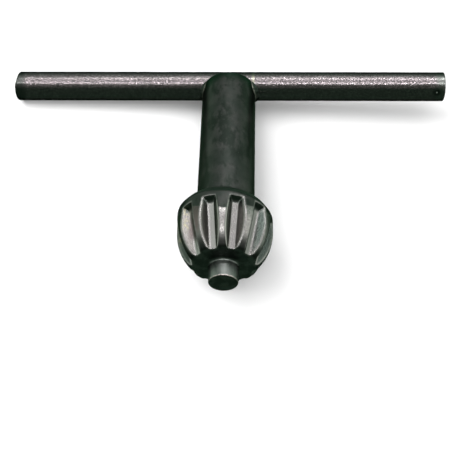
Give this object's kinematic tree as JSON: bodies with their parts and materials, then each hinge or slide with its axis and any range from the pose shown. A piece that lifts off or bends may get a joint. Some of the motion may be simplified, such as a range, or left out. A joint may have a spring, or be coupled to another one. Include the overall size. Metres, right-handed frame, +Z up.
{
  "type": "drill chuck key",
  "caption": "T-handled drill chuck key: a straight cross bar welded across a round shank with a toothed bevel gear and a pilot pin at its end.",
  "frame": {"origin": "on the table the key lies on, under the middle of the key's bounding box", "axes": "+X along the handle bar, from its left end to its right end as the picture shows them (the bar rises about 3 degrees towards +X); -Y from the bar towards the pilot (the body's axis rises about 6 degrees that way); +Z up from the table"},
  "size_m": [0.066, 0.0382, 0.0134],
  "materials": {
    "bar_steel": "blackened cold-drawn rod, grainy sheen",
    "body_steel": "matt green-grey blackened, bright where the teeth are cut and worn"
  },
  "bodies": {
    "root": {"handle_bar": "bar_steel", "key_body": "body_steel"}
  },
  "joints": []
}
